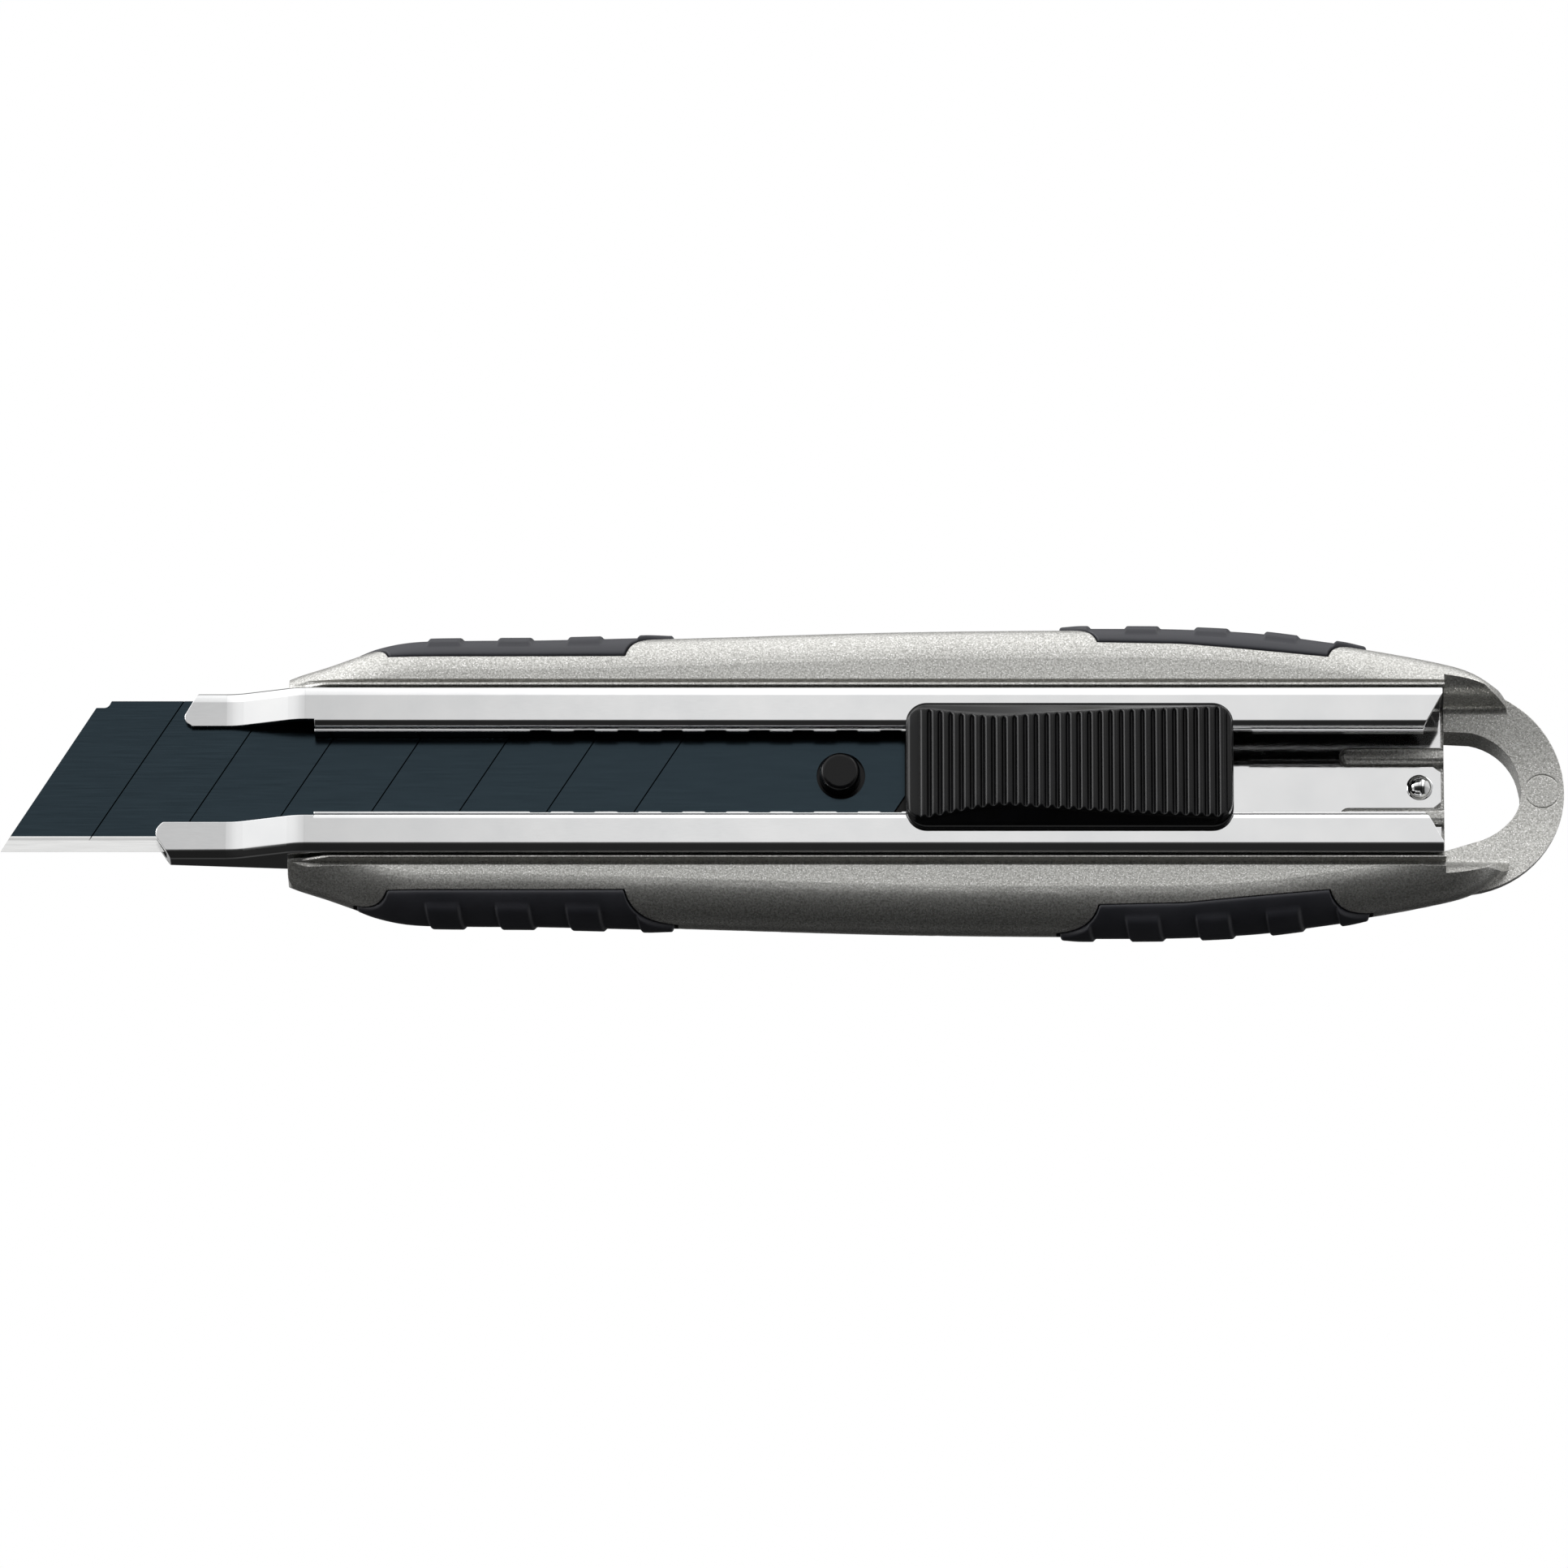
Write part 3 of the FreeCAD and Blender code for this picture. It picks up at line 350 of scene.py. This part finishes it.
def blade_steel():
    """Dark oxide finish brushed lengthwise, with painted shade in the score lines, bright on the ground
    edge.
    """
    shader = Shader("blade_steel")
    shader.set(Metallic=0.95)
    brush = shader.noise(shader.place((1.0, 45.0, 45.0)), 180.0, 3.0, 0.65)
    dark = shader.ramp(brush, (0.25, (0.026, 0.040, 0.050)), (0.75, (0.040, 0.060, 0.074)))
    ground = shader.ramp(brush, (0.2, (0.66, 0.66, 0.655)), (0.8, (0.77, 0.77, 0.765)))
    axes = shader.axes()
    low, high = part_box("blade")
    bevel_top = low.y + BEVEL_HEIGHT
    on_bevel = shader.remap(axes["Y"], bevel_top, bevel_top + BEVEL_BLEND, 1.0, 0.0)
    lean_end = bevel_top + BEVEL_BLEND + BEVEL_LEAN_BLEND
    leaning = shader.remap(axes["Y"], bevel_top + BEVEL_BLEND, lean_end, 1.0, 0.0)
    colour = shader.mix(on_bevel, dark, ground)
    # Painted shade in the score lines: darker the deeper the groove lies below the blade's face, fading
    # out towards the ground edge
    from_face = shader.maths("SUBTRACT", high.z, axes["Z"])
    score_groove_shade = shader.remap(from_face, *SCORE_DEPTHS, 0.0, 1.0)
    above_bevel = shader.remap(axes["Y"], bevel_top - SCORE_FADE, bevel_top, 0.0, 1.0)
    painted_score_shade = shader.maths("MULTIPLY", score_groove_shade, above_bevel)
    colour = shader.mix(painted_score_shade, colour, (0.004, 0.005, 0.006, 1.0))
    shader.finish(colour, shader.remap(brush, 0.3, 0.7, 0.14, 0.24))
    shader.relief(brush, 0.003 * MM, 0.3, base=shader.tilt(BEVEL_TILT, leaning))
    return shader.material


def grip_rubber():
    """Matt charcoal elastomer with a fine moulded texture."""
    shader = Shader("grip_rubber")
    here = shader.place()
    fine = shader.noise(here, 5000.0, 2.0)
    broad = shader.noise(here, 220.0, 3.0)
    tone = shader.ramp(broad, (0.3, (0.025, 0.026, 0.033)), (0.7, (0.036, 0.037, 0.046)))
    shader.finish(tone, shader.remap(broad, 0.3, 0.7, 0.48, 0.60))
    shader.relief(fine, 0.02 * MM, 0.3)
    return shader.material


def black_plastic():
    """Semi-gloss black moulding with a trace of handling haze."""
    shader = Shader("black_plastic")
    here = shader.place()
    haze = shader.noise(here, 300.0, 3.0)
    tone = shader.ramp(haze, (0.3, (0.003, 0.003, 0.003)), (0.7, (0.005, 0.005, 0.006)))
    shader.set(Specular_IOR_Level=0.27)
    shader.finish(tone, shader.remap(haze, 0.3, 0.7, 0.16, 0.24))
    shader.relief(shader.noise(here, 3000.0, 1.0), 0.003 * MM, 0.2, edge=0.15 * MM)
    return shader.material


def spring_steel():
    """Bright rolled strip."""
    shader = Shader("spring_steel")
    shader.set(Metallic=1.0)
    roll = shader.noise(shader.place((1.0, 30.0, 30.0)), 300.0, 2.0)
    tone = shader.ramp(roll, (0.3, (0.42, 0.42, 0.43)), (0.7, (0.58, 0.58, 0.60)))
    shader.finish(tone, shader.remap(roll, 0.3, 0.7, 0.18, 0.32))
    return shader.material


def dress(names, material):
    for name in names:
        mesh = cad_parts[name].data
        mesh.materials.clear()
        mesh.materials.append(material)


# --- rubber inserts -----------------------------------------------------------------


def circle_height(x, start, middle, end):
    """Height at x of the circle through three (x, z) points, on the middle point's side."""
    (ax, az), (bx, bz), (cx, cz) = start, middle, end
    twist = 2 * (ax * (bz - cz) + bx * (cz - az) + cx * (az - bz))
    aa, bb, cc = ax * ax + az * az, bx * bx + bz * bz, cx * cx + cz * cz
    ox = (aa * (bz - cz) + bb * (cz - az) + cc * (az - bz)) / twist
    oz = (aa * (cx - bx) + bb * (ax - cx) + cc * (bx - ax)) / twist
    radius = math.hypot(ax - ox, az - oz)
    rise = math.sqrt(max(radius * radius - (x - ox) ** 2, 0.0))
    return oz + math.copysign(rise, bz - oz)


def insert_half_height(ends, x):
    """Half the height of an insert's side view at x, measured from the middle of the flank."""
    front_tip, front_shoulder, rear_shoulder, rear_tip = ends
    if front_shoulder <= x <= rear_shoulder:
        return GRIP_FULL_HEIGHT
    tip, shoulder = (front_tip, front_shoulder) if x < front_shoulder else (rear_tip, rear_shoulder)
    bend_x = tip + GRIP_BEND_PLACE * (shoulder - tip)
    bend_height = GRIP_TIP + GRIP_BEND_HEIGHT * (GRIP_FULL_HEIGHT - GRIP_TIP)
    return circle_height(x, (tip, GRIP_TIP), (bend_x, bend_height), (shoulder, GRIP_FULL_HEIGHT))


def insert_reach(ends, inner_edge, x):
    """Angle from the side of the flank up to the insert's border at x."""
    centre_y = along(FLANK_HALF_WIDTHS, x) - FLANK_RADIUS
    by_height = min(insert_half_height(ends, x) / FLANK_RADIUS, 1.0)
    by_edge = min((straight_along(inner_edge, x) - centre_y) / FLANK_RADIUS, 1.0)
    return min(math.asin(by_height), math.acos(by_edge))


def pad_height(first_pad, x, z):
    """Share of a pad's full height at a point of the insert."""
    x += PAD_LEAN * z / PAD_HALF_HEIGHT
    place = (x - first_pad) % PAD_PITCH
    inside = min(place, PAD_WIDTH - place)
    if x < first_pad - PAD_SLOPE:
        inside = -PAD_SLOPE
    lengthwise = smooth_step(inside / PAD_SLOPE + 0.5)
    upright = smooth_step((PAD_HALF_HEIGHT - abs(z)) / PAD_END_SLOPE + 0.5)
    return lengthwise * upright


def insert_row(ends, inner_edge, first_pad, x, side):
    """Points round the flank at x, from below one border of the insert to below the other."""
    reach = insert_reach(ends, inner_edge, x)
    half_width = along(FLANK_HALF_WIDTHS, x)
    from_tip = min(x - ends[0], ends[3] - x)
    row = []
    for j in range(-1, GRIP_COLUMNS + 2):
        share = min(max(2.0 * j / GRIP_COLUMNS - 1.0, -1.0), 1.0)
        share = math.sin(share * math.pi / 2)
        angle = share * reach
        from_border = min((1.0 - abs(share)) * reach * FLANK_RADIUS, from_tip)
        rounding = math.sqrt(max(1.0 - (1.0 - min(from_border / GRIP_EDGE, 1.0)) ** 2, 0.0))
        z = FLANK_RADIUS * math.sin(angle)
        out = GRIP_PROUD * rounding + PAD_PROUD * pad_height(first_pad, x, z) * rounding - GRIP_TUCK
        if j < 0 or j > GRIP_COLUMNS or from_tip < 0:
            out = -GRIP_SINK
        radius = FLANK_RADIUS + out
        y = half_width - FLANK_RADIUS + radius * math.cos(angle)
        row.append((x, side * y, MID_Z + radius * math.sin(angle)))
    return row if side > 0 else row[::-1]


def sunk_end(row, side):
    """The end row of an insert, drawn in below the flank."""
    deepest = along(FLANK_HALF_WIDTHS, row[0][0]) - GRIP_SINK
    return [(x, side * min(abs(y), deepest), z) for x, y, z in row]


def insert(end_name, side_name, material):
    ends, inner_edge, first_pad = GRIPS[end_name]
    side = 1 if side_name == "spine" else -1
    steps = int((ends[3] - ends[0]) / GRIP_STEP)
    xs = [ends[0] + (ends[3] - ends[0]) * i / steps for i in range(steps + 1)]
    rows = [insert_row(ends, inner_edge, first_pad, x, side) for x in xs]
    rows = [sunk_end(rows[0], side), *rows, sunk_end(rows[-1], side)]
    node = end_name + "_grip_" + side_name
    piece = sheet_mesh(node + "_skin", rows, material)
    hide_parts(node)
    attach(piece, "handle")


# --- thumb cap ----------------------------------------------------------------------


def cap_groove(x):
    """Depth of the groove between two round ribs at x."""
    place = (x - FIRST_RIB_X) / RIB_PITCH
    if place < -0.5 or place > RIB_COUNT - 0.5:
        return 0.0
    off_crest = 2.0 * (place - round(place))
    depth = RIB_DEPTH * off_crest * off_crest
    if place < 0 or place > RIB_COUNT - 1:
        depth *= END_GROOVE_SHARE
    return depth


def cap_half_width(x):
    """Half-width of the cap's outline at x, with its rounded corners."""
    from_end = min(x - CAP_FRONT, CAP_TAIL - x)
    if from_end >= CAP_CORNER:
        return CAP_HALF_WIDTH
    corner = CAP_CORNER - math.sqrt(CAP_CORNER ** 2 - (CAP_CORNER - from_end) ** 2)
    return CAP_HALF_WIDTH - corner


def cap_row(x):
    """Half-section of the cap at x, mirrored: wall, rounded shoulder and crest."""
    foot = cap_half_width(x)
    field = min(along(FIELD_HALF_WIDTHS, x), foot - CAP_FIELD_MARGIN)
    top = FACE_Z + along(CREST_HEIGHTS, x)
    groove = min(cap_groove(x), top - CAP_FOOT_Z)
    rounding = min(CAP_SHOULDER, (top - CAP_FOOT_Z) * CAP_SHOULDER_SHARE + CAP_SHOULDER_LEAST)
    wall_y, wall_z = foot - CAP_FOOT_DRAFT, CAP_FOOT_Z + CAP_FOOT_HEIGHT
    rise = max(top - rounding - wall_z, 0.0)
    half = [(foot, CAP_FOOT_Z), (wall_y, wall_z)]
    for k in range(1, CAP_WALL_BANDS):
        share = k / CAP_WALL_BANDS
        half.append((wall_y + (field - wall_y) * share, wall_z + rise * share))
    for k in range(CAP_SHOULDER_STEPS + 1):
        share = k / CAP_SHOULDER_STEPS
        angle = math.pi / 2 * share
        height = top - groove * smooth_step(share)
        half.append((field - rounding * (1 - math.cos(angle)), height - rounding * (1 - math.sin(angle))))
    for share in (0.75, 0.5, 0.25, 0.0):
        half.append(((field - rounding) * share, top - groove))
    right = [(x, y, z) for y, z in half]
    return right + [(x, -y, z) for y, z in half[-2::-1]]


def thumb_cap(material):
    steps = int(RIB_STEPS * (CAP_TAIL - CAP_FRONT) / RIB_PITCH)
    rows = [cap_row(CAP_FRONT + (CAP_TAIL - CAP_FRONT) * i / steps) for i in range(steps + 1)]
    front, tail = ([(x, y, CAP_FOOT_Z) for x, y, _ in row] for row in (rows[0], rows[-1]))
    piece = sheet_mesh("ribbed_cap", [front, *rows, tail], material)
    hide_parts("thumb_slide")
    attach(piece, "thumb_cap")


# --- studio -------------------------------------------------------------------------


def camera():
    data = bpy.data.cameras.new("camera")
    data.type = "PERSP"
    data.lens = CAMERA_LENS
    data.sensor_width = SENSOR
    data.clip_start = CLIP_START
    data.clip_end = CLIP_END
    obj = linked(bpy.data.objects.new("camera", data))
    back = Vector((0.0, -math.cos(CAMERA_ELEVATION), math.sin(CAMERA_ELEVATION)))
    up = Vector((0.0, math.sin(CAMERA_ELEVATION), math.cos(CAMERA_ELEVATION)))
    distance = VIEW_WIDTH * CAMERA_LENS / SENSOR
    obj.location = up * VIEW_RISE + back * distance
    obj.rotation_mode = "QUATERNION"
    obj.rotation_quaternion = (-back).to_track_quat("-Z", "Y")
    bpy.context.scene.camera = obj


def floor():
    """A plain white floor under the knife, which leaves the reflections to the light tent."""
    half = FLOOR_SIZE / 2
    corners = [(x, y, FLOOR_Z) for x, y in ((-half, -half), (half, -half), (half, half), (-half, half))]
    mesh = bpy.data.meshes.new("floor")
    mesh.from_pydata(corners, [], [(0, 1, 2, 3)])
    shader = Shader("floor_white")
    shader.set(Base_Color=(0.0, 0.0, 0.0, 1.0), Specular_IOR_Level=0.0)
    shader.set(Emission_Color=(1.0, 1.0, 1.0, 1.0), Emission_Strength=1.0)
    mesh.materials.append(shader.material)
    plane = linked(bpy.data.objects.new("floor", mesh))
    plane.visible_diffuse = False
    plane.visible_glossy = False
    plane.visible_transmission = False
    plane.visible_shadow = False


def light_band(nodes, value, stops):
    """Brightness read from (position, brightness) stops along a value."""
    low, high = stops[0][0], stops[-1][0]
    share = nodes.remap(value, low, high, 0.0, 1.0)
    grey = [((position - low) / (high - low), (brightness,) * 3) for position, brightness in stops]
    return nodes.ramp(share, *grey)


def studio_world():
    """A light tent: bright over the spine side, black card along the edge side, plain to the camera."""
    world = bpy.data.worlds.new("studio")
    bpy.context.scene.world = world
    world.use_nodes = True
    nodes = Nodes(world.node_tree)
    direction = nodes.add("SeparateXYZ")
    nodes.wire(nodes.add("TexCoord").outputs["Generated"], direction.inputs["Vector"])
    x, y, z = direction.outputs
    degrees = nodes.maths("DEGREES", nodes.maths("ARCTAN2", y, z))
    tent = nodes.vector_maths(
        "MULTIPLY", light_band(nodes, degrees, LIGHT_AROUND), light_band(nodes, x, LIGHT_ALONG))
    light = nodes.vector_maths("ADD", tent, light_band(nodes, x, END_CARDS))
    background = nodes.tree.nodes["Background"]
    nodes.wire(light, background.inputs["Color"])
    plain = nodes.add("Background")
    plain.inputs["Color"].default_value = (1.0, 1.0, 1.0, 1.0)
    chooser = nodes.add("MixShader")
    is_camera_ray = nodes.add("LightPath").outputs["Is Camera Ray"]
    nodes.feed(chooser.inputs, (is_camera_ray, background.outputs[0], plain.outputs[0]))
    nodes.wire(chooser.outputs[0], nodes.tree.nodes["World Output"].inputs["Surface"])


def dress_knife():
    """The CAD nodes in their materials, and the finer inserts and thumb cap in place of theirs."""
    rubber = grip_rubber()
    plastic = black_plastic()
    dress(["handle_casting"], cast_metal())
    dress(["blade_channel", "tail_stop"], polished_steel())
    dress(["blade"], blade_steel())
    dress(["slider_base", "blade_carrier"], plastic)
    dress(["lock_spring", "channel_rivets"], spring_steel())
    for end in GRIPS:
        for side in ("spine", "edge"):
            insert(end, side, rubber)
    thumb_cap(plastic)


dress_knife()
camera()
floor()
studio_world()
bpy.context.scene.view_settings.view_transform = "Standard"
